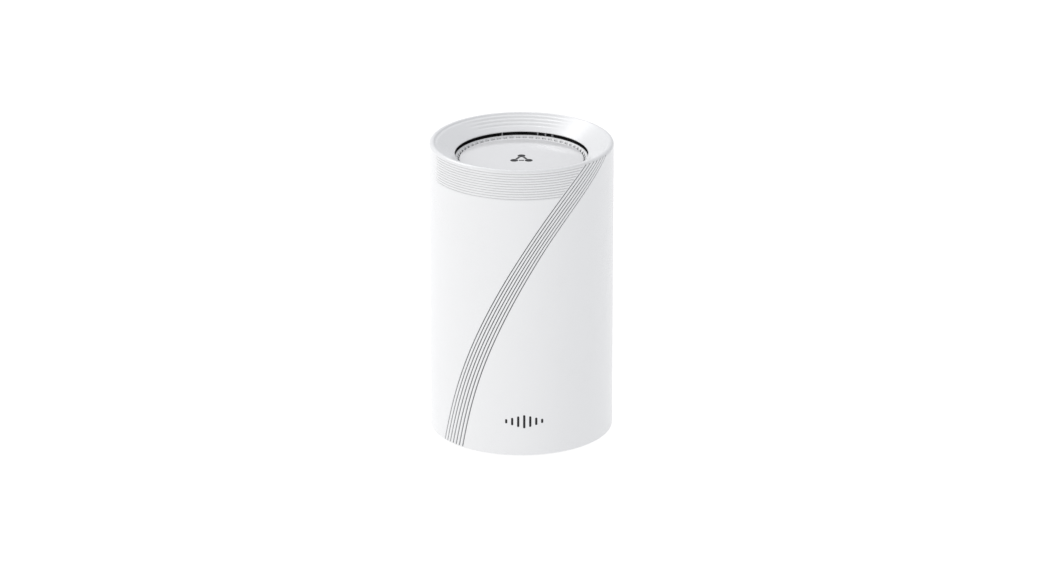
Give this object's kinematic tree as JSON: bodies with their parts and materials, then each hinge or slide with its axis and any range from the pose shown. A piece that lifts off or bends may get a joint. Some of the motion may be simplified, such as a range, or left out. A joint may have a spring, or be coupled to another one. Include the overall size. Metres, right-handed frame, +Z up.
{
  "type": "mesh wifi node",
  "caption": "Round tabletop mesh wifi node: white grooved casing, recessed top vent, rear socket panel, pairing and reset buttons, and a fan over an upright board.",
  "frame": {"origin": "centre of the foot ring's underside, on the surface the node stands on", "axes": "+Z up along the case's axis, -Y out of the front, +Y out of the socket panel"},
  "size_m": [0.107, 0.107, 0.176],
  "materials": {
    "white_casing": "satin white moulded ABS",
    "gloss_disc": "polished light grey",
    "black_plastic": "fine textured black",
    "panel_grey": "fine spark texture",
    "grey_plastic": "plain moulded",
    "foot_rubber": "matt",
    "zinc_steel": "zinc plated",
    "nickel_case": "nickel plated sheet",
    "tin_plate": "tin plate",
    "extruded_aluminium": "bare extruded",
    "sintered_brass": "sintered",
    "copper_winding": "lacquered copper wire",
    "board_lacquer": "green solder mask on glass epoxy",
    "chip_epoxy": "moulded epoxy",
    "thermal_pad": "soft filled silicone",
    "cable_sleeve": "plain sleeve"
  },
  "bodies": {
    "case": {"outer_shell": "white_casing", "vent_ring": "white_casing", "top_disc": "gloss_disc", "top_frame": "black_plastic", "exhaust_duct": "black_plastic", "chassis": "black_plastic", "base_plate": "black_plastic", "rubber_foot": "foot_rubber", "base_screw_1": "zinc_steel", "base_screw_2": "zinc_steel", "base_screw_3": "zinc_steel", "base_screw_4": "zinc_steel", "port_bezel": "panel_grey", "lan_jack_1": "nickel_case", "lan_jack_2": "nickel_case", "lan_jack_3": "nickel_case", "lan_jack_4": "nickel_case", "usb_port": "nickel_case", "dc_jack": "black_plastic", "wps_switch": "chip_epoxy", "reset_switch": "chip_epoxy", "main_pcb": "board_lacquer", "pcb_screw_1": "zinc_steel", "pcb_screw_2": "zinc_steel", "pcb_screw_3": "zinc_steel", "pcb_screw_4": "zinc_steel", "front_heatsink": "extruded_aluminium", "rear_heatsink": "extruded_aluminium", "soc_thermal_pad": "thermal_pad", "rear_thermal_pad": "thermal_pad", "soc_chip": "chip_epoxy", "memory_chip": "chip_epoxy", "shield_can_left": "tin_plate", "shield_can_right": "tin_plate", "shield_can_top": "tin_plate", "rear_shield_can": "tin_plate", "lan_transformer_left": "chip_epoxy", "lan_transformer_right": "chip_epoxy", "power_inductor": "copper_winding", "power_capacitor": "black_plastic", "fan_frame": "black_plastic", "fan_bearing": "sintered_brass", "fan_stator": "copper_winding", "fan_tray": "zinc_steel", "fan_screw_1": "zinc_steel", "fan_screw_2": "zinc_steel", "fan_screw_3": "zinc_steel", "fan_screw_4": "zinc_steel", "antenna_1": "board_lacquer", "antenna_2": "board_lacquer", "antenna_3": "board_lacquer", "antenna_4": "board_lacquer", "antenna_cable_1": "cable_sleeve", "antenna_cable_2": "cable_sleeve", "antenna_cable_3": "cable_sleeve", "antenna_cable_4": "cable_sleeve"},
    "fan": {"fan_rotor": "grey_plastic"},
    "pairing_button": {"wps_button": "grey_plastic"},
    "reset_plunger": {"reset_button": "grey_plastic"}
  },
  "joints": [
    {"name": "fan_spin", "type": "hinge", "parent": "case", "child": "fan", "pos_m": [0, 0, 0.14], "axis": [0, 0, 1], "continuous": true},
    {"name": "wps_press", "type": "slide", "parent": "case", "child": "pairing_button", "axis": [0, -1, 0], "range_m": [0, 0.001], "stiffness_N_per_m": 1500},
    {"name": "reset_press", "type": "slide", "parent": "case", "child": "reset_plunger", "axis": [0, 0, 1], "range_m": [0, 0.0008], "stiffness_N_per_m": 1500}
  ]
}
